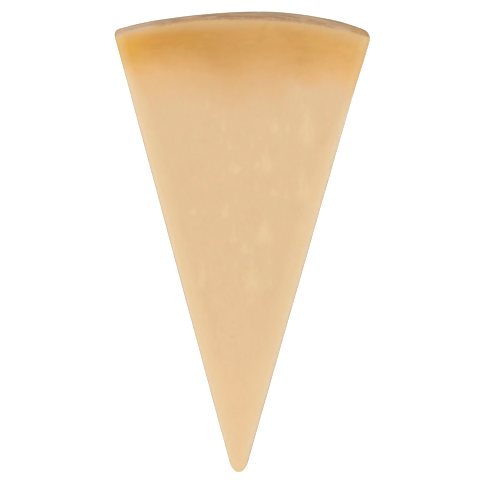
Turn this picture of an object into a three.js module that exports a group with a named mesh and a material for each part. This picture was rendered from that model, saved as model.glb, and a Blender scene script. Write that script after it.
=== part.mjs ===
// A wedge of aged hard cheese, cut from the middle height of a wheel and lying on one of its flat cut faces.
// Millimetres, +Z up. +Y runs from the tip to the rind. The origin is on the resting face, below the middle
// of the wedge's bounding box. The outline is worked out about the wheel's centre and moved there at the end.
import * as THREE from "three";

// The wheel, and the two knife cuts that free the wedge from it.
const WHEEL_RADIUS = 181; // the wheel's centre to the outside of the rind
const THICKNESS = 38; // between the two flat cut faces
const CUTS_MEET = new THREE.Vector2(-3.1, -8); // where the cuts would cross, from the wheel's centre
const LEFT_CUT = 15.06; // degrees from +Y
const RIGHT_CUT = 15.98; // degrees from +Y

// How the sharp corners of that sector are worn.
const TIP_TAPER = { from: 13.2, pull: 8.1 }; // along each cut, from where they would meet: the tip's curve
const LEFT_CORNER_RADIUS = 2.4; // where a cut meets the rind
const RIGHT_CORNER_RADIUS = 3.8;
const TOP_EDGE_RADIUS = 1.3;
const BOTTOM_EDGE_RADIUS = 0.9;

// How the faces differ from true ones.
const CUT_HOLLOW = { left: -0.12, right: 0.12 }; // the left cut swells out half way, the right one bends in
const CUT_FLARE = { left: 0.2, right: 0.5, inner: 25, outer: 41, from: 145, to: 170 }; // near the rind
const CUT_WANDER = { height: 0.12, length: 64 }; // the knife's wander at half height, along each cut
const RIND_BARREL = 0.7; // the rind stands out at half height
const RIND_WAVE = { height: 0.26, span: 20.5, crest: 5.2 }; // around the rind, with span and crest in degrees
const RIND_DROP = { depth: 1, from: 10.7, to: 16.2 }; // towards the right corner, in degrees
const RIND_REACH = 30; // how far in from the rind its own unevenness fades out
const TOP_SWELL = { height: 0.2, length: 85, width: 52 }; // low swells across the upper face

// How finely each stretch of the surface is divided.
const STEPS = { tip: 12, side: 26, corner: 5, rind: 22, edge: 3, wall: 6, topFace: 9 };
const FACE_CENTRE_SHARE = 0.62; // of the way from where the cuts meet to the rind, where each face closes

const radians = THREE.MathUtils.degToRad;
const fade = THREE.MathUtils.smoothstep;

// One of the two cuts: the line it runs along and the side of it that the cheese is on.
function knifeCut(degreesFromY, inward) {
  const angle = radians(degreesFromY);
  const along = new THREE.Vector2(-inward * Math.sin(angle), Math.cos(angle));
  const inside = new THREE.Vector2(inward * Math.cos(angle), Math.sin(angle));
  return { along, inside, at: (distance) => CUTS_MEET.clone().addScaledVector(along, distance) };
}

// A worn corner between a cut and the rind: an arc that touches the cut and the inside of the rind's circle.
function wornCorner(cut, radius) {
  const foot = CUTS_MEET.clone().addScaledVector(cut.inside, radius);
  const offset = foot.dot(cut.along);
  const reach = Math.sqrt(offset ** 2 - foot.lengthSq() + (WHEEL_RADIUS - radius) ** 2) - offset;
  const centre = foot.addScaledVector(cut.along, reach);
  return { centre, radius, onCut: centre.clone().addScaledVector(cut.inside, -radius) };
}

function arc({ centre, radius }, from, to) {
  return new THREE.EllipseCurve(centre.x, centre.y, radius, radius, from, to);
}

// The wedge's outline seen from above, as curves that run on smoothly, anticlockwise from the tip's left end.
function outlineCurves() {
  const left = knifeCut(LEFT_CUT, 1);
  const right = knifeCut(RIGHT_CUT, -1);
  const { from, pull } = TIP_TAPER;
  const tip = [left.at(from), left.at(pull), right.at(pull), right.at(from)];
  const leftCorner = wornCorner(left, LEFT_CORNER_RADIUS);
  const rightCorner = wornCorner(right, RIGHT_CORNER_RADIUS);
  const leftAngle = leftCorner.centre.angle();
  const rightAngle = rightCorner.centre.angle();
  const rind = { centre: new THREE.Vector2(), radius: WHEEL_RADIUS };
  return [
    { curve: new THREE.CubicBezierCurve(...tip), steps: STEPS.tip },
    { curve: new THREE.LineCurve(tip[3], rightCorner.onCut), steps: STEPS.side, cutHollow: CUT_HOLLOW.right },
    { curve: arc(rightCorner, -radians(RIGHT_CUT), rightAngle), steps: STEPS.corner },
    { curve: arc(rind, rightAngle, leftAngle), steps: STEPS.rind },
    { curve: arc(leftCorner, leftAngle, Math.PI + radians(LEFT_CUT)), steps: STEPS.corner },
    { curve: new THREE.LineCurve(leftCorner.onCut, tip[0]), steps: STEPS.side, cutHollow: CUT_HOLLOW.left },
  ];
}

// The outline's points, each with the direction that faces out of the cheese there. Along a cut, share runs
// from 0 at its ends to 1 half way, and elsewhere it is 0.
function outlinePoints() {
  return outlineCurves().flatMap(({ curve, steps, cutHollow }) =>
    Array.from({ length: steps }, (_, i) => {
      const t = i / steps;
      const tangent = curve.getTangent(t);
      const outward = new THREE.Vector2(tangent.y, -tangent.x);
      const share = cutHollow === undefined ? 0 : 4 * t * (1 - t);
      const hollow = share ? share * cutHollow : 0;
      return { place: curve.getPoint(t).addScaledVector(outward, -hollow), outward, share };
    }),
  );
}

// A worn edge of the wall, as quarter-circle levels from its lower end to its upper one.
function edgeLevels(radius, isTop) {
  return Array.from({ length: STEPS.edge + 1 }, (_, i) => {
    const angle = (i / STEPS.edge) * (Math.PI / 2);
    return isTop
      ? { inset: radius * (1 - Math.cos(angle)), height: THICKNESS - radius * (1 - Math.sin(angle)) }
      : { inset: radius * (1 - Math.sin(angle)), height: radius * (1 - Math.cos(angle)) };
  });
}

// The wall's section: how far inside the outline it lies at each height, from the lower face to the upper.
function wallSection() {
  const wall = [];
  for (let i = 1; i < STEPS.wall; i++) {
    const wallTop = THICKNESS - TOP_EDGE_RADIUS;
    wall.push({ inset: 0, height: THREE.MathUtils.lerp(BOTTOM_EDGE_RADIUS, wallTop, i / STEPS.wall) });
  }
  return [...edgeLevels(BOTTOM_EDGE_RADIUS, false), ...wall, ...edgeLevels(TOP_EDGE_RADIUS, true)];
}

// How far the rind stands out of its true circle at an angle clockwise from +Y, and at a height.
function rindRelief(degrees, height) {
  const wave = RIND_WAVE.height * Math.cos(radians(360) * ((degrees - RIND_WAVE.crest) / RIND_WAVE.span));
  const drop = RIND_DROP.depth * fade(degrees, RIND_DROP.from, RIND_DROP.to);
  const barrel = RIND_BARREL * ((2 * height) / THICKNESS - 1) ** 2;
  return wave - drop - barrel;
}

// How far a cut's face stands out of its plane.
function cutRelief(place, height) {
  const lengthwise = Math.sin(radians(360) * (place.y / CUT_WANDER.length));
  return CUT_WANDER.height * lengthwise * Math.sin(radians(180) * (height / THICKNESS));
}

// How far a point of the wall lies to the side of its place, where the cuts flare out near the rind.
function cutFlare({ x, y }) {
  const { left, right, inner, outer, from, to } = CUT_FLARE;
  const sideways = x < 0 ? -left : right;
  return sideways * fade(Math.abs(x), inner, outer) * fade(y, from, to);
}

// The upper face's height above a true plane, which is nowhere over 0.
function topRelief({ x, y }) {
  const across = Math.sin(radians(360) * (x / TOP_SWELL.width + y / TOP_SWELL.length));
  const along = Math.cos(radians(360) * (y / TOP_SWELL.length));
  return -TOP_SWELL.height * (0.5 - 0.25 * (across + along));
}

// A point of the surface: inset from the outline, and then drawn in towards the face's centre by 1 - spread.
function surfacePoint({ place, outward, share }, { inset, height, spread = 1 }, faceCentre) {
  const p = place.clone().addScaledVector(outward, share * cutRelief(place, height) - inset);
  p.x += cutFlare(p);
  const degrees = THREE.MathUtils.radToDeg(Math.atan2(p.x, p.y));
  const nearRind = fade(p.length(), WHEEL_RADIUS - RIND_REACH, WHEEL_RADIUS);
  p.setLength(p.length() + nearRind * rindRelief(degrees, height));
  p.lerpVectors(faceCentre, p, spread);
  const nearTop = fade(height, THICKNESS / 2, THICKNESS);
  return new THREE.Vector3(p.x, p.y, height + nearTop * topRelief(p));
}

// One closed skin: rings of the outline stacked up the wall and drawn in over the upper face, and a centre
// point that closes each end.
function wedgeGeometry() {
  const outline = outlinePoints();
  const faceCentre = new THREE.Vector2(0, THREE.MathUtils.lerp(CUTS_MEET.y, WHEEL_RADIUS, FACE_CENTRE_SHARE));
  const levels = wallSection();
  const rim = levels.at(-1);
  for (let i = STEPS.topFace - 1; i > 0; i--) levels.push({ ...rim, spread: i / STEPS.topFace });

  const points = levels.flatMap((level) => outline.map((point) => surfacePoint(point, level, faceCentre)));
  const bottomCentre = points.push(new THREE.Vector3(faceCentre.x, faceCentre.y, 0)) - 1;
  const topCentre = points.push(surfacePoint(outline[0], { ...rim, spread: 0 }, faceCentre)) - 1;

  const faces = [];
  const around = outline.length;
  const lastRing = (levels.length - 1) * around;
  for (let i = 0; i < around; i++) {
    const next = (i + 1) % around;
    faces.push(bottomCentre, next, i, topCentre, lastRing + i, lastRing + next);
    for (let ring = 0; ring < lastRing; ring += around) {
      const above = ring + around;
      faces.push(ring + i, ring + next, above + next, ring + i, above + next, above + i);
    }
  }
  const geometry = new THREE.BufferGeometry().setFromPoints(points).setIndex(faces);
  geometry.computeVertexNormals();
  return geometry;
}

const cheeseMaterial = new THREE.MeshStandardMaterial({ color: 0xe5c398, roughness: 0.5, metalness: 0 });
const wedge = new THREE.Mesh(wedgeGeometry(), cheeseMaterial);
wedge.name = "cheese_wedge";
wedge.geometry.computeBoundingBox();
const middle = wedge.geometry.boundingBox.getCenter(new THREE.Vector3());
wedge.position.set(-middle.x, -middle.y, 0);

const part = new THREE.Group();
part.add(wedge);

export default part;
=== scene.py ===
"""A wedge of aged hard cheese on a white floor, seen from straight above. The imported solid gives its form.

Lengths are in millimetres. Bearings are in degrees round the wheel's centre, clockwise from +Y.
"""

import math

import bpy
import numpy as np
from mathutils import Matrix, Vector, noise


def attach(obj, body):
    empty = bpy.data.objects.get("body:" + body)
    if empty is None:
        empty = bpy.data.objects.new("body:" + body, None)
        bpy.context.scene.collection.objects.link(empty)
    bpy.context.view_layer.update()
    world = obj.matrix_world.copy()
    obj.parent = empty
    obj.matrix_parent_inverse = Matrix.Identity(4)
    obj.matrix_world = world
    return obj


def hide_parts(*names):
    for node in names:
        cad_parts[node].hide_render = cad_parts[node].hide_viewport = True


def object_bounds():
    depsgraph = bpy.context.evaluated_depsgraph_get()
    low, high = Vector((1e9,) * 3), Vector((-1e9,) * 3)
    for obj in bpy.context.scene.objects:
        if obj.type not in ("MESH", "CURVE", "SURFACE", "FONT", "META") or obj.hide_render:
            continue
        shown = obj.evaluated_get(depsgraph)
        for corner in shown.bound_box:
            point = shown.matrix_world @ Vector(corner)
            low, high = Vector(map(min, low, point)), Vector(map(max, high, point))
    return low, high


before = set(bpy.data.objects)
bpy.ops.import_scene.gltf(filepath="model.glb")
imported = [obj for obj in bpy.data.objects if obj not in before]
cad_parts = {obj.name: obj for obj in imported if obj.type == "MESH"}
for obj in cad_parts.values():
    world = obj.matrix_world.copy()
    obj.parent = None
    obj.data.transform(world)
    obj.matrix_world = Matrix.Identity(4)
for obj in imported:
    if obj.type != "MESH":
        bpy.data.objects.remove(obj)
cad_low, cad_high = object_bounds()

MM = 0.001  # one millimetre in Blender's unit, the metre
NODE = "cheese_wedge"

# The wedge, as the solid has it: a sector of a wheel between two knife cuts, on its flat cut face.
LOW = Vector(cad_low) / MM
HIGH = Vector(cad_high) / MM
THICKNESS = HIGH.z - LOW.z
WHEEL_RADIUS = 181.0
WHEEL_CENTRE = Vector((1.66, HIGH.y - WHEEL_RADIUS))
CUTS_MEET = WHEEL_CENTRE + Vector((-3.1, -8.0))
LEFT_CUT = math.radians(15.06)  # from +Y
RIGHT_CUT = math.radians(15.98)
LEFT_CORNER_RADIUS = 2.4
RIGHT_CORNER_RADIUS = 3.8
RIND_BARREL = 0.7  # the rind stands out at half height
RIND_WAVE = {"height": 0.26, "span": 20.5, "crest": 5.2}  # round the rind, with span and crest in degrees
RIND_DROP = {"depth": 1.0, "from": 10.7, "to": 16.2}  # towards the right corner, between these bearings

# The visible mesh and the relief on it.
SKIN_SPACING = 0.65  # between the mesh's points
WELD_GAP = 0.001  # the solid's points that lie closer than this are joined
PIT_ONSET = 0.62  # the noise over which the cut paste has a pit
PIT_STEEPNESS = 0.9
RIND_RELIEF_REACH = 3.0  # in from the rind's outside
RELIEF_FADE = 1.5  # the width over which a relief fades out
SEED = Vector((37.0, 11.0, 5.0))  # where the relief's noise is read

# The camera. It looks straight down and sees this square of the upper face.
VIEW_WIDTH = 186.32
VIEW_MIDDLE = (-0.88, 0.477)
LENS = 135.0
SENSOR = 36.0
NEAREST_SEEN = 50.0
FARTHEST_SEEN = 20000.0

# The studio: a floor that shows as white, an even sky and two soft lights.
WHITE = (1.0, 1.0, 1.0, 1.0)
FLOOR_WIDTH = 6000.0
FLOOR_GREY = (0.45, 0.45, 0.45, 1.0)
FLOOR_ROUGHNESS = 0.9
FLOOR_GLOW = 0.8
SKY_STRENGTH = 0.56
OVERHEAD_LIGHT = {"strength": 1.32, "spread": 60.0, "direction": (-0.05, 0.25, 1.0)}
FRONT_LIGHT = {"strength": 0.18, "spread": 50.0, "direction": (-0.1, -1.0, 0.5)}

# The cheese's surface.
GLOSS = 0.035  # how much of the studio's white light it mirrors
REFRACTION = 1.44
PASTE_ROUGHNESS = 0.46
RIND_ROUGHNESS = 0.62
ROUGHNESS_RANGE = 0.25  # over the grain
SCATTERING = 0.3  # the share of light that the paste scatters under its surface
SCATTERING_REACH = 2.0  # of red light
REACH_BY_COLOUR = (1.0, 0.55, 0.25)  # of red, green and blue, as shares of that
BUMP_HEIGHT = 0.1
BUMP_STRENGTH = 0.25


def as_seen(red, green, blue):
    """The base colour that shows as this screen colour, 0 to 255, once the surface's gloss is added."""

    def base(part):
        part /= 255
        linear = part / 12.92 if part <= 0.04045 else ((part + 0.055) / 1.055) ** 2.4
        return (linear - GLOSS) / (1 - GLOSS)

    return (base(red), base(green), base(blue), 1.0)


# The paste, from its middle to the edges and the rind.
PASTE = as_seen(228, 195, 153)
PASTE_AT_TIP = as_seen(236, 200, 156)
PASTE_SHADE = as_seen(225, 189, 144)
PASTE_PINK = as_seen(233, 192, 150)
PASTE_OLIVE = as_seen(225, 197, 153)
PASTE_LIGHT = as_seen(233, 202, 161)
# Painted shade on the knife cuts' faces, more amber near the rind.
SHADED_CUT_SIDE = as_seen(211, 177, 133)
SHADED_CUT_SIDE_NEAR_RIND = as_seen(206, 161, 100)
EDGE_CREAM = as_seen(235, 208, 164)
# Partly a dry film's colour, partly a painted highlight that lightens the shaded rounded edges.
EDGE_FILM_AND_HIGHLIGHT = as_seen(233, 213, 185)
FLECK = as_seen(233, 205, 161)
SPECK = as_seen(239, 197, 149)
GOLD = as_seen(224, 178, 120)
GOLD_AT_CORNERS = as_seen(234, 187, 126)
AMBER = (  # by bearing
    (-16.7, as_seen(231, 178, 72)),
    (-12.7, as_seen(219, 157, 65)),
    (-6.0, as_seen(208, 153, 75)),
    (1.5, as_seen(216, 164, 94)),
    (7.5, as_seen(217, 164, 91)),
    (15.7, as_seen(230, 181, 107)),
)
AMBER_BROWN = as_seen(201, 148, 82)
AMBER_ORANGE = as_seen(223, 158, 84)
AMBER_GOLD = as_seen(221, 173, 94)
UNDER_RIND = (  # by bearing
    (-15.7, as_seen(226, 187, 128)),
    (-8.0, as_seen(216, 179, 126)),
    (8.0, as_seen(217, 180, 128)),
    (15.7, as_seen(221, 183, 127)),
)

# Where the amber ends and the gold begins, in from the rind's outside, and how each fades about there.
AMBER_DEPTH = 18.8  # at the right corner
AMBER_DEEPER = (  # by this much more elsewhere, by bearing
    (-15.5, 1.8),
    (-8.0, 3.4),
    (-2.0, 7.6),
    (3.0, 5.6),
    (8.0, 5.6),
    (12.5, 1.0),
    (15.5, 0.0),
)
AMBER_FADE = ((-13.0, 1.0), (-9.5, 0.84), (-1.0, 0.08), (1.0, 0.0))  # by mm past the amber's end
GOLD_FADE = ((-2.3, 1.0), (1.7, 0.78), (6.7, 0.45), (11.7, 0.2), (17.7, 0.0))

# The rind.
RIND_GREY = as_seen(172, 149, 123)
RIND_RED = as_seen(183, 140, 105)
RIND_DAB = as_seen(163, 118, 86)
RIND_LIGHT = as_seen(199, 168, 135)
RIND_PALE = as_seen(216, 186, 157)
RIND_TAN = as_seen(195, 154, 107)
# The rind's dark streaks, and also painted shade on its outer face.
RIND_DARK_AND_SHADE = as_seen(152, 124, 92)
RIND_OUTSIDE = as_seen(190, 156, 110)
RIND_OUTSIDE_DARK = as_seen(171, 138, 94)
RIND_OUTSIDE_LIGHT = as_seen(203, 171, 126)
RIND_OUTSIDE_BLOTCHES = (  # by noise
    (0.3, RIND_OUTSIDE_DARK),
    (0.5, RIND_OUTSIDE),
    (0.7, RIND_OUTSIDE_LIGHT),
)
RIND_THICKNESS = (  # by bearing
    (-15.5, 2.85),
    (-12.0, 2.95),
    (-9.0, 2.55),
    (-5.0, 2.55),
    (0.0, 3.4),
    (8.0, 3.5),
    (12.2, 3.2),
    (14.0, 2.55),
    (15.5, 2.35),
)

# The marks in the paste.
FLECKS = (  # the largest pale drops in the upper face: x and y of the middle, width and length
    (25.0, 44.5, 6.0, 16.0),
    (12.5, 44.8, 4.0, 6.4),
    (9.4, 31.0, 5.6, 11.0),
    (5.8, 29.8, 2.6, 5.0),
    (23.6, 21.4, 6.6, 13.0),
    (12.4, 19.4, 3.6, 4.0),
    (-4.8, 37.0, 2.0, 4.6),
    (-3.0, 28.6, 4.2, 4.6),
    (-19.0, 11.6, 2.6, 4.6),
    (-6.2, 11.4, 3.4, 5.6),
    (8.6, 3.6, 6.4, 11.0),
    (-3.6, 1.8, 4.0, 6.0),
    (0.8, -2.8, 3.2, 4.2),
    (3.6, -14.0, 7.2, 13.0),
    (-15.8, -13.0, 3.0, 10.0),
)
LARGER_DROP = {"width": 5.6, "length": 11.0}  # of those scattered by noise
SMALLER_DROP = {"width": 2.6, "length": 6.0}
SPECK_SPACING = (7.0, 9.0, 7.0)
STRETCH = math.sqrt(2.5)  # how many times as deep as wide a drop is, and as long as wide a speck


# --- The shape ------------------------------------------------------------------------------------


def even_skin(node):
    """A closed mesh with evenly spaced points over a CAD node's own surface."""
    piece = bpy.data.objects.new("wedge", node.data.copy())
    bpy.context.scene.collection.objects.link(piece)
    weld = piece.modifiers.new("weld", "WELD")
    weld.merge_threshold = WELD_GAP * MM
    even = piece.modifiers.new("even", "REMESH")
    even.mode = "VOXEL"
    even.voxel_size = SKIN_SPACING * MM
    even.use_smooth_shade = True
    bpy.context.view_layer.update()
    shaped = bpy.data.meshes.new_from_object(piece.evaluated_get(bpy.context.evaluated_depsgraph_get()))
    piece.modifiers.clear()
    piece.data = shaped
    return piece


def rough(place, wavelength, height=1.0, stretch=(1.0, 1.0, 1.0)):
    """Smooth noise up to about this height, with a wavelength that can be stretched along each axis."""
    scaled = Vector(place[i] / (wavelength * stretch[i]) for i in range(3))
    return height * noise.noise(scaled + SEED)


def cut_face_relief(place):
    """How far a point of the cut paste stands out: low swells, a fine grain and a few small pits."""
    swell = rough(place, wavelength=16.0, height=0.05)
    grain = rough(place, wavelength=2.2, height=0.022, stretch=(1.0, 1.8, 1.0))
    fine_grain = rough(place, wavelength=1.3, height=0.012)
    pit = max(0.0, rough(place, wavelength=4.5) - PIT_ONSET) * PIT_STEEPNESS
    return swell + (grain + fine_grain) - pit


def rind_relief(place):
    """How far a point of the rind stands out: ridges that run round the wheel, and a dry, uneven skin."""
    ridges = rough(place, wavelength=2.0, height=0.05, stretch=(12.0, 12.0, 1.0))
    skin = rough(place, wavelength=7.0, height=0.07) + rough(place, wavelength=2.4, height=0.03)
    return ridges + skin


def add_relief(piece):
    """Moves each point of the mesh along its normal by the relief of the face that it is on."""
    mesh = piece.data
    count = len(mesh.vertices)
    points = np.empty(count * 3, np.float32)
    normals = np.empty(count * 3, np.float32)
    mesh.vertices.foreach_get("co", points)
    mesh.vertex_normals.foreach_get("vector", normals)
    points = points.reshape(-1, 3).astype(float) / MM
    normals = normals.reshape(-1, 3).astype(float)
    depth = WHEEL_RADIUS - np.hypot(points[:, 0] - WHEEL_CENTRE.x, points[:, 1] - WHEEL_CENTRE.y)
    rind_share = np.clip((RIND_RELIEF_REACH - depth) / RELIEF_FADE, 0, 1)
    above_floor = np.clip((points[:, 2] - LOW.z) / RELIEF_FADE, 0, 1)
    relief = np.empty(count)
    for i, place in enumerate(points):
        on_rind = rind_share[i]
        relief[i] = (1 - on_rind) * cut_face_relief(place) if on_rind < 1 else 0.0
        if on_rind > 0:
            relief[i] += on_rind * rind_relief(place)
    points += normals * (relief * above_floor)[:, None]
    mesh.vertices.foreach_set("co", (points * MM).astype(np.float32).ravel())
    mesh.update()


# --- Shader arithmetic ----------------------------------------------------------------------------

NOISE_MIDDLE = 0.5  # the noise node's values run from 0 to 1 and gather here
LONGEST_ON_RAMP = 10.0  # a ramp holds only 0 to 1, so a length on it is kept as a share of this


class Graph:
    """A material's nodes, added by plain calls."""

    def __init__(self, name):
        self.material = bpy.data.materials.new(name)
        self.material.use_nodes = True
        self.tree = self.material.node_tree
        self.tree.nodes.clear()

    def add(self, kind, inputs=None, **settings):
        made = self.tree.nodes.new(kind)
        for name, value in settings.items():
            setattr(made, name, value)
        for key, value in (inputs or {}).items():
            self.feed(made.inputs[key], value)
        return made

    def feed(self, socket, value):
        if isinstance(value, Signal):
            self.tree.links.new(value.socket, socket)
        else:
            socket.default_value = value

    def signal(self, kind, inputs=None, output=0, **settings):
        return Signal(self, self.add(kind, inputs, **settings).outputs[output])

    def math(self, operation, *values):
        return self.signal("ShaderNodeMath", dict(enumerate(values)), operation=operation)

    def hypot(self, side, *sides):
        """The length of the vector with these sides."""
        squares = side * side
        for other in sides:
            squares = squares + other * other
        return self.math("SQRT", squares)

    def in_units(self, place, lengths):
        """A vector whose three parts are those of a place, each in a length of its own."""
        parts = (part / length for part, length in zip(place, lengths))
        return self.signal("ShaderNodeCombineXYZ", dict(enumerate(parts)))

    def parts(self, vector):
        """A vector's x, y and z."""
        return [Signal(self, output) for output in self.add("ShaderNodeSeparateXYZ", {0: vector}).outputs]

    def mixed(self, colour, other, share):
        """One colour changed to the other by a share from 0 to 1."""
        # The node's sockets for colours are its inputs 6 and 7 and its output 2.
        inputs = {0: share, 6: colour, 7: other}
        return self.signal("ShaderNodeMix", inputs, output=2, data_type="RGBA")

    def noise(self, place, size, detail=2.0):
        """Noise from 0 to 1 with features of about this size along each of a place's three axes."""
        inputs = {"Vector": self.in_units(place, size), "Scale": 1.0, "Detail": detail}
        return self.signal("ShaderNodeTexNoise", inputs)

    def waver(self, place, size, detail=2.0, height=1.0):
        """The same noise, half of this height to either side of 0."""
        return (self.noise(place, size, detail) - NOISE_MIDDLE) * height

    def ramp(self, value, stops):
        """A colour, or a share from 0 to 1, that follows the value smoothly between its stops."""
        lowest, highest = stops[0][0], stops[-1][0]
        made = self.add("ShaderNodeValToRGB", {0: (value - lowest) / (highest - lowest)})
        made.color_ramp.interpolation = "CARDINAL"
        elements = made.color_ramp.elements
        while len(elements) < len(stops):
            elements.new(position=0.5)
        for element, (at, colour) in zip(elements, stops):
            element.position = (at - lowest) / (highest - lowest)
            element.color = colour if isinstance(colour, tuple) else (colour, colour, colour, 1.0)
        return Signal(self, made.outputs[0])

    def length(self, value, stops):
        """A length that follows the value smoothly between its stops."""
        shares = [(at, length / LONGEST_ON_RAMP) for at, length in stops]
        return self.ramp(value, shares) * LONGEST_ON_RAMP


class Signal:
    """A value or colour that varies over the surface. Arithmetic on it adds math nodes."""

    def __init__(self, graph, socket):
        self.graph = graph
        self.socket = socket

    def __add__(self, other):
        return self.graph.math("ADD", self, other)

    def __sub__(self, other):
        return self.graph.math("SUBTRACT", self, other)

    def __rsub__(self, other):
        return self.graph.math("SUBTRACT", other, self)

    def __mul__(self, other):
        return self.graph.math("MULTIPLY", self, other)

    def __truediv__(self, other):
        return self.graph.math("DIVIDE", self, other)

    __radd__ = __add__
    __rmul__ = __mul__

    def at_least(self, other):
        return self.graph.math("MAXIMUM", self, other)

    def at_most(self, other):
        return self.graph.math("MINIMUM", self, other)

    def fade(self, start, end):
        """0 at start and beyond, 1 at end and beyond, smooth between."""
        inputs = {"Value": self, "From Min": start, "From Max": end}
        return self.graph.signal("ShaderNodeMapRange", inputs, interpolation_type="SMOOTHSTEP")

    def within(self, start, full, last_full, end):
        """1 from full to last_full, and 0 up to start and from end on."""
        return self.fade(start, full) * self.fade(end, last_full)

    def towards(self, colour, share, strength=1.0):
        """This colour, changed to another by a share from 0 to 1, times the strength."""
        return self.graph.mixed(self, colour, share * strength)


# --- The cheese's finish --------------------------------------------------------------------------

MIDDLE_BAND = 2.0  # the left half's looks give way to the right's this far to either side of +Y
PAST_TIP = 0.6  # the tip's pale edge is measured from this far past its end


class CheesePlace:
    """Where a point of the surface lies in the cheese."""

    def __init__(self, graph):
        self.graph = graph
        position = graph.signal("ShaderNodeTexCoord", output="Object")
        self.x, self.y, self.z = (part / MM for part in graph.parts(position))
        east = self.x - WHEEL_CENTRE.x
        north = self.y - WHEEL_CENTRE.y
        turn = graph.math("ARCTAN2", east, north)
        self.bearing = turn * math.degrees(1)
        self.depth = self.rind_radius() - graph.hypot(east, north)
        self.left_gap = self.gap(LEFT_CUT, 1)
        self.right_gap = self.gap(RIGHT_CUT, -1)
        self.cut_gap = self.left_gap.at_most(self.right_gap)  # in from the nearer knife cut
        self.face_gap = self.z.at_most(THICKNESS - self.z)  # in from the nearer flat face
        self.tip_gap = self.y - LOW.y
        self.edge_gap = self.second_nearest_face().at_most(self.tip_gap + PAST_TIP)
        self.on_right = self.bearing.fade(-MIDDLE_BAND, MIDDLE_BAND)  # 0 in the left half, 1 in the right
        self.skin = self.skin_depth()

        # The axes that noise is read along: straight ones, and two sets that run round the wheel.
        around = turn * WHEEL_RADIUS
        self.straight = (self.x, self.y, self.z)
        self.round_above = (around, self.depth, self.z)  # as seen from above
        self.round_outside = (around, self.z, self.depth)  # as seen from outside

    def rind_radius(self):
        """From the wheel's centre to the rind's outside, at this bearing and height."""
        from_middle = (self.z - THICKNESS / 2) / (THICKNESS / 2)
        barrel = from_middle * from_middle * RIND_BARREL
        turn = (self.bearing - RIND_WAVE["crest"]) * (math.tau / RIND_WAVE["span"])
        wave = self.graph.math("COSINE", turn) * RIND_WAVE["height"]
        drop = self.bearing.fade(RIND_DROP["from"], RIND_DROP["to"]) * RIND_DROP["depth"]
        return wave - drop - barrel + WHEEL_RADIUS

    def gap(self, cut, inward):
        """How far in from one of the two knife cuts."""
        across = (self.x - CUTS_MEET.x) * (inward * math.cos(cut))
        return across + (self.y - CUTS_MEET.y) * math.sin(cut)

    def second_nearest_face(self):
        """How far in from the second nearest cut face, which is 0 at every edge between two of them."""
        nearer = self.cut_gap.at_most(self.face_gap)
        farther = self.cut_gap.at_least(self.face_gap)
        return nearer.at_least(farther.at_most(self.left_gap.at_least(self.right_gap)))

    def sided(self, left, right):
        """One value in the left half and another in the right."""
        return self.on_right * (right - left) + left

    def skin_depth(self):
        """How far in from the outside, where the rind curls round the worn corners onto the cuts."""
        radius = self.sided(LEFT_CORNER_RADIUS, RIGHT_CORNER_RADIUS)
        aside = (radius - self.cut_gap).at_least(0.0)
        inside = (radius - self.depth).at_least(0.0)
        return radius - self.graph.hypot(aside, inside) + (self.depth - radius).at_least(0.0)


def paste_colour(graph, place):
    """The cut paste, a little warmer towards the tip, with soft flecks and specks."""
    mottle = graph.noise(place.straight, size=(5.0, 8.0, 5.0), detail=3.0)
    grain = graph.noise(place.straight, size=(1.4, 2.0, 1.4))
    tint = graph.noise(place.straight, size=(3.6, 2.8, 3.6), detail=4.0)
    near_tip = (place.y + place.x * 0.8).fade(0.0, -75.0)
    away_from_tip = place.depth.fade(155.0, 120.0) * 0.6 + 0.4
    shade = mottle.fade(0.42, 0.74) * away_from_tip * 0.45 + grain.fade(0.5, 0.8) * 0.35
    colour = graph.mixed(PASTE, PASTE_AT_TIP, near_tip)
    colour = colour.towards(PASTE_SHADE, shade)
    colour = colour.towards(PASTE_LIGHT, grain.fade(0.5, 0.24), strength=0.25)
    colour = colour.towards(PASTE_PINK, tint.fade(0.46, 0.74) * away_from_tip, strength=0.3)
    colour = colour.towards(PASTE_OLIVE, tint.fade(0.56, 0.28) * away_from_tip, strength=0.42)
    colour = colour.towards(FLECK, fleck_share(graph, place), strength=0.8)
    return colour.towards(SPECK, speck_share(graph, place), strength=0.5)


def cells(graph, place, spacing):
    """Space in cells: the offsets of a point from its cell's centre, and the cell's own chance."""
    inputs = {"Vector": graph.in_units(place, spacing), "Scale": 1.0}
    outputs = graph.add("ShaderNodeTexVoronoi", inputs).outputs
    centre = graph.parts(Signal(graph, outputs["Position"]))
    x, y, z = (part - middle * length for part, middle, length in zip(place, centre, spacing))
    chance = graph.signal("ShaderNodeSeparateColor", {0: Signal(graph, outputs["Color"])})
    return x, y, z, chance


def drop(graph, x, y, z, width, length):
    """A soft drop of this size, with its point towards +Y, from the offsets to its middle."""
    taper = width / length * 0.8
    half_width = ((length / 2 - y) * taper).at_most(width / 2)
    reach = graph.hypot(x, z / STRETCH)
    soft_side = (half_width - reach).fade(width * -0.22, width * 0.34)
    soft_base = y.fade(length * -0.6, length * -0.25)
    return soft_side * soft_base


def drops(graph, bent, width, length, richness):
    """Drops of this size, in cells of which more are filled where the richness is greater."""
    sideways = width * 2.4
    lengthwise = length * 1.3
    x, y, z, chance = cells(graph, bent, spacing=(sideways, lengthwise, sideways))
    filled = (chance + richness).fade(0.95, 1.15)
    return drop(graph, x, y, z, width, length) * filled


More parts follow.
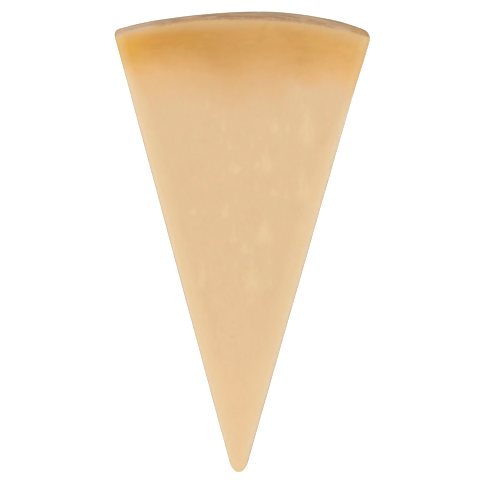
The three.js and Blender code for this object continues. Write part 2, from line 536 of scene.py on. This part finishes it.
def fleck_share(graph, place):
    """Soft pale drops that point towards the rind: the largest as listed, the rest in loose groups."""
    bend_x = graph.waver(place.straight, size=(3.5, 5.0, 3.5), detail=3.0, height=4.0)
    bend_y = graph.waver(place.straight, size=(3.0, 6.0, 3.0), height=5.0)
    x, y, z = bent = (place.x + bend_x, place.y + bend_y, place.z)
    below_top = THICKNESS - z
    groups = graph.noise(place.straight, size=(12.0, 24.0, 12.0))
    richness = groups * 0.6 + place.x.fade(-34.0, 10.0) * 0.4
    flecks = drops(graph, bent, **LARGER_DROP, richness=richness) * below_top.fade(4.0, 8.0)
    for middle_x, middle_y, width, length in FLECKS:
        listed = drop(graph, x - middle_x, y - middle_y, below_top, width, length)
        flecks = flecks.at_least(listed)
    flecks = flecks.at_least(drops(graph, bent, **SMALLER_DROP, richness=richness - 0.05) * 0.6)
    strokes = graph.noise(place.straight, size=(1.6, 4.5, 1.6))
    streaky = strokes.fade(0.34, 0.62) * 0.45 + 0.55
    return flecks * streaky * place.depth.within(18.0, 30.0, 112.0, 140.0)


def speck_share(graph, place):
    """A few small specks, each a little longer towards the rind than it is wide."""
    x, y, z, chance = cells(graph, place.straight, SPECK_SPACING)
    filled = chance.fade(0.6, 0.75)
    return graph.hypot(x, y / STRETCH, z).fade(1.1, 0.3) * filled


def add_amber(graph, place, paste):
    """The paste turns gold and then amber towards the rind, and tan just under it."""
    wander = graph.waver(place.straight, size=(9.0, 6.0, 9.0), detail=3.0, height=7.0)
    ripple = graph.waver(place.straight, size=(2.2, 3.0, 2.2), height=3.0)
    uneven = wander + ripple
    near_left = place.bearing.fade(0.0, -11.0)
    near_right = place.bearing.fade(7.0, 12.0)
    past_amber = place.depth - graph.length(place.bearing, AMBER_DEEPER) - AMBER_DEPTH + uneven
    amber = graph.ramp(past_amber - near_right * 1.5, AMBER_FADE)
    colour = add_gold(graph, place, paste, past_amber)
    colour = colour.towards(graph.ramp(place.bearing, AMBER), amber)
    colour = add_amber_hues(graph, place, colour, amber)
    under_rind = (place.depth + near_left * 1.3 + uneven * 0.3).fade(8.5, 3.1)
    return colour.towards(graph.ramp(place.bearing, UNDER_RIND), under_rind)


def add_gold(graph, place, colour, past_amber):
    """Past the amber's end lies gold, which fades out slowly in the left half and sharply in the right."""
    near_left = place.bearing.fade(-7.0, -14.0)
    away_from_right = place.bearing.fade(10.0, 7.0)
    slow = graph.ramp(past_amber + near_left * 2.0, GOLD_FADE)
    sharp = (past_amber + away_from_right * 3.0).fade(8.8, -0.4)
    right = place.bearing.fade(4.0, 8.0)
    near_corner = graph.math("ABSOLUTE", place.bearing).fade(3.0, 17.0)
    gold = graph.mixed(GOLD, GOLD_AT_CORNERS, near_corner)
    return colour.towards(gold, slow * (1.0 - right) + sharp * right)


def add_amber_hues(graph, place, colour, amber):
    """The amber has brown blotches and fibres, and patches of orange and gold."""
    blotches = graph.noise(place.straight, size=(14.0, 7.0, 14.0), detail=3.0)
    fibres = graph.noise(place.straight, size=(5.0, 2.6, 5.0), detail=3.0)
    patches = graph.noise(place.straight, size=(8.0, 3.6, 8.0))
    away_from_right = place.bearing.fade(12.0, 7.0)
    brown = blotches.fade(0.48, 0.68) * away_from_right * 0.22 + fibres.fade(0.46, 0.7) * 0.2
    colour = colour.towards(AMBER_BROWN, brown * amber)
    colour = colour.towards(AMBER_ORANGE, patches.fade(0.48, 0.7) * amber, strength=0.36)
    return colour.towards(AMBER_GOLD, patches.fade(0.48, 0.3) * amber, strength=0.36)


def add_pale_edges(graph, place, colour):
    """Every edge between two cut faces is paler, as cream, with a thin dry film and a painted highlight at
    the very edge.
    """
    wide = place.depth.fade(place.sided(17.0, 31.0), place.sided(32.0, 54.0))
    colour = colour.towards(EDGE_CREAM, cream_share(graph, place, wide))
    dried = place.depth.fade(place.sided(12.0, 22.0), place.sided(22.0, 36.0))
    # The film is partly a painted highlight, lightening the rounded edge where it turns away from the light.
    film_and_highlight = (place.edge_gap - place.on_right * 0.4).fade(dried * 1.2 + 1.2, 0.0)
    colour = colour.towards(EDGE_FILM_AND_HIGHLIGHT, film_and_highlight * dried * place.tip_gap.fade(-3.0, 14.0), strength=0.88)
    return add_cut_side_shade(graph, place, colour, wide)


def cream_share(graph, place, wide):
    """How cream the paste is, by its distance from the edge. The cream is narrow near the rind."""
    bays = graph.waver(place.straight, size=(9.0, 11.0, 9.0), detail=1.0, height=place.sided(1.0, 5.0))
    far_right = place.on_right * place.depth.fade(50.0, 75.0)
    reach = wide * (bays + 2.9) + far_right * 1.6 + 4.0
    rise = (1.0 - place.edge_gap / reach).at_least(0.0)
    past_amber = place.depth.fade(place.sided(11.5, 21.0), place.sided(20.0, 44.0))
    in_amber = place.sided(0.56, 0.44)
    return rise * (in_amber + past_amber * (1.0 - in_amber)) * (1.0 - far_right * 0.1)


def add_cut_side_shade(graph, place, colour, wide):
    """Painted shade on the knife cuts' own faces: they are darker, most of all next to their edges."""
    side = graph.mixed(SHADED_CUT_SIDE_NEAR_RIND, SHADED_CUT_SIDE, place.depth.fade(9.0, 24.0).at_least(place.on_right))
    # The painted shade reaches farther in the right half.
    outermost = (place.cut_gap - place.on_right * wide * 0.22).fade(0.42, 0.08)
    near_edge = place.edge_gap.fade(2.4, 1.0) * 0.72 + wide * 0.28
    return colour.towards(side, outermost * near_edge)


def rind_colour(graph, place):
    """The rind: grey outside and red-brown inside, in streaks round the wheel, with paler ends."""
    streaks = graph.noise(place.round_above, size=(7.0, 0.42, 1.6), detail=4.0)
    dashes = graph.noise(place.round_above, size=(1.0, 3.0, 3.0))
    dabs = graph.noise(place.round_above, size=(2.0, 0.7, 1.6))
    sway = graph.waver(place.round_outside, size=(11.0, 7.0, 9.0), height=0.8)
    grey_depth = place.bearing.fade(-3.0, 3.0) * 0.75 + 1.05 + sway
    colour = graph.mixed(RIND_GREY, RIND_RED, (place.depth - grey_depth).fade(-0.35, 0.35))
    off_middle = place.bearing.fade(-2.0, -5.0) + place.bearing.fade(4.5, 7.0)
    colour = colour.towards(RIND_LIGHT, off_middle, strength=0.33)
    worn = place.bearing.within(5.8, 6.8, 8.1, 8.9) * place.depth.fade(2.0, 1.2)
    colour = colour.towards(RIND_LIGHT, worn, strength=0.5)
    inner_dabs = dabs.fade(0.5, 0.68) * place.depth.within(1.2, 1.8, 2.6, 3.2)
    colour = colour.towards(RIND_DAB, inner_dabs, strength=0.6)
    dark_streaks = streaks.fade(0.52, 0.64) * place.depth.fade(2.6, 1.4)
    colour = colour.towards(RIND_DARK_AND_SHADE, dark_streaks, strength=0.85)
    colour = colour.towards(RIND_LIGHT, streaks.fade(0.48, 0.35), strength=0.8)
    inner_dashes = place.depth.fade(1.8, 2.8) * dashes.fade(0.45, 0.65)
    colour = colour.towards(RIND_LIGHT, inner_dashes, strength=0.35)
    colour = colour.towards(RIND_TAN, place.bearing.fade(10.3, 14.3), strength=0.85)
    return colour.towards(RIND_PALE, pale_end_share(place))


def pale_end_share(place):
    """The left end of the rind is pale in layers, and near the right end there is a pale streak."""
    layers = place.depth.fade(1.5, 0.8) * 0.12 + place.depth.fade(1.5, 2.2) * 0.42 + 0.53
    left_end = place.bearing.fade(-10.0, -12.6) * layers
    right_streak = place.bearing.within(10.5, 11.8, 12.6, 13.8) * place.depth.fade(0.9, 2.8)
    return right_streak * 0.62 + left_end


def add_rind_outside(graph, place, colour):
    """The rind's outer face is golden tan, with soft blotches, fine scuffs and painted shade towards the
    flat faces.
    """
    blotches = graph.noise(place.round_outside, size=(17.0, 11.0, 9.0), detail=3.0)
    scuffs = graph.noise(place.round_outside, size=(7.0, 0.8, 3.0), detail=4.0)
    skin = graph.ramp(blotches, RIND_OUTSIDE_BLOTCHES)
    skin = skin.towards(RIND_OUTSIDE_DARK, scuffs.fade(0.5, 0.7), strength=0.5)
    skin = skin.towards(RIND_OUTSIDE_LIGHT, scuffs.fade(0.46, 0.28), strength=0.4)
    between_corners = place.bearing.within(-15.2, -14.0, 14.6, 15.8)
    # Painted shade: the outer face darkens towards the upper and lower faces.
    skin = skin.towards(RIND_DARK_AND_SHADE, place.face_gap.fade(5.0, 0.5) * between_corners, strength=0.75)
    return colour.towards(skin, place.skin.fade(0.85, 0.3), strength=0.8)


def rind_share(graph, place):
    """1 in the rind and 0 in the paste. The rind's skin curls round the worn corners."""
    uneven = graph.waver(place.round_above, size=(1.5, 5.0, 2.5), height=0.9)
    thickness = graph.length(place.bearing, RIND_THICKNESS) + uneven
    curled = place.skin.fade(0.7, 0.1) * place.depth.fade(3.5, 1.2)
    return (place.depth - thickness).fade(0.6, -0.6).at_least(curled)


def cheese_colour(graph, place, in_rind):
    paste = add_amber(graph, place, paste_colour(graph, place))
    paste = add_pale_edges(graph, place, paste)
    rind = add_rind_outside(graph, place, rind_colour(graph, place))
    return paste.towards(rind, in_rind)


def cheese_material():
    graph = Graph("cheese")
    place = CheesePlace(graph)
    in_rind = rind_share(graph, place)
    grain = graph.noise(place.straight, size=(0.5, 0.5, 0.5), detail=3.0)
    pores = graph.noise(place.straight, size=(1.6, 1.6, 1.6))
    height = (grain * 0.6 + pores * 0.8) * (1.0 + in_rind)
    bump = {"Strength": BUMP_STRENGTH, "Distance": BUMP_HEIGHT * MM, "Height": height}
    roughness = (grain - NOISE_MIDDLE) * ROUGHNESS_RANGE + PASTE_ROUGHNESS
    shader = graph.signal("ShaderNodeBsdfPrincipled", {
        "Base Color": cheese_colour(graph, place, in_rind),
        "Roughness": roughness + in_rind * (RIND_ROUGHNESS - PASTE_ROUGHNESS),
        "IOR": REFRACTION,
        "Subsurface Weight": SCATTERING * (1.0 - in_rind),
        "Subsurface Radius": REACH_BY_COLOUR,
        "Subsurface Scale": SCATTERING_REACH * MM,
        "Normal": graph.signal("ShaderNodeBump", bump),
    })
    graph.add("ShaderNodeOutputMaterial", {"Surface": shader})
    return graph.material


# --- The studio -----------------------------------------------------------------------------------


def floor_material():
    graph = Graph("floor")
    shader = graph.signal("ShaderNodeBsdfPrincipled", {
        "Base Color": FLOOR_GREY,
        "Roughness": FLOOR_ROUGHNESS,
        "Emission Color": WHITE,
        "Emission Strength": FLOOR_GLOW,
    })
    graph.add("ShaderNodeOutputMaterial", {"Surface": shader})
    return graph.material


def make_floor():
    half = FLOOR_WIDTH / 2 * MM
    corners = [(-half, -half, 0), (half, -half, 0), (half, half, 0), (-half, half, 0)]
    mesh = bpy.data.meshes.new("floor")
    mesh.from_pydata(corners, [], [(0, 1, 2, 3)])
    floor = bpy.data.objects.new("floor", mesh)
    bpy.context.scene.collection.objects.link(floor)
    mesh.materials.append(floor_material())


def make_sky():
    world = bpy.data.worlds.new("studio")
    world.use_nodes = True
    background = world.node_tree.nodes["Background"]
    background.inputs["Color"].default_value = WHITE
    background.inputs["Strength"].default_value = SKY_STRENGTH
    bpy.context.scene.world = world


def soft_light(name, strength, spread, direction):
    """Even light from far away in this direction, out of a patch of sky that is spread degrees across."""
    data = bpy.data.lights.new(name, "SUN")
    data.energy = strength
    data.angle = math.radians(spread)
    lamp = bpy.data.objects.new(name, data)
    lamp.rotation_euler = (-Vector(direction)).to_track_quat("-Z", "Y").to_euler()
    bpy.context.scene.collection.objects.link(lamp)


def make_studio():
    make_floor()
    make_sky()
    soft_light("overhead", **OVERHEAD_LIGHT)
    soft_light("front", **FRONT_LIGHT)
    view = bpy.context.scene.view_settings
    view.view_transform = "Standard"
    view.look = "None"


def make_camera():
    """Straight above the upper face, with the tip towards the bottom of the picture."""
    data = bpy.data.cameras.new("camera")
    data.lens = LENS
    data.sensor_width = SENSOR
    data.clip_start = NEAREST_SEEN * MM
    data.clip_end = FARTHEST_SEEN * MM
    camera = bpy.data.objects.new("camera", data)
    height = THICKNESS + VIEW_WIDTH * LENS / SENSOR
    camera.location = Vector((*VIEW_MIDDLE, height)) * MM
    bpy.context.scene.collection.objects.link(camera)
    bpy.context.scene.camera = camera


make_camera()
make_studio()
wedge = even_skin(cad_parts[NODE])
add_relief(wedge)
wedge.data.materials.clear()
wedge.data.materials.append(cheese_material())
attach(wedge, "root")
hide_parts(NODE)
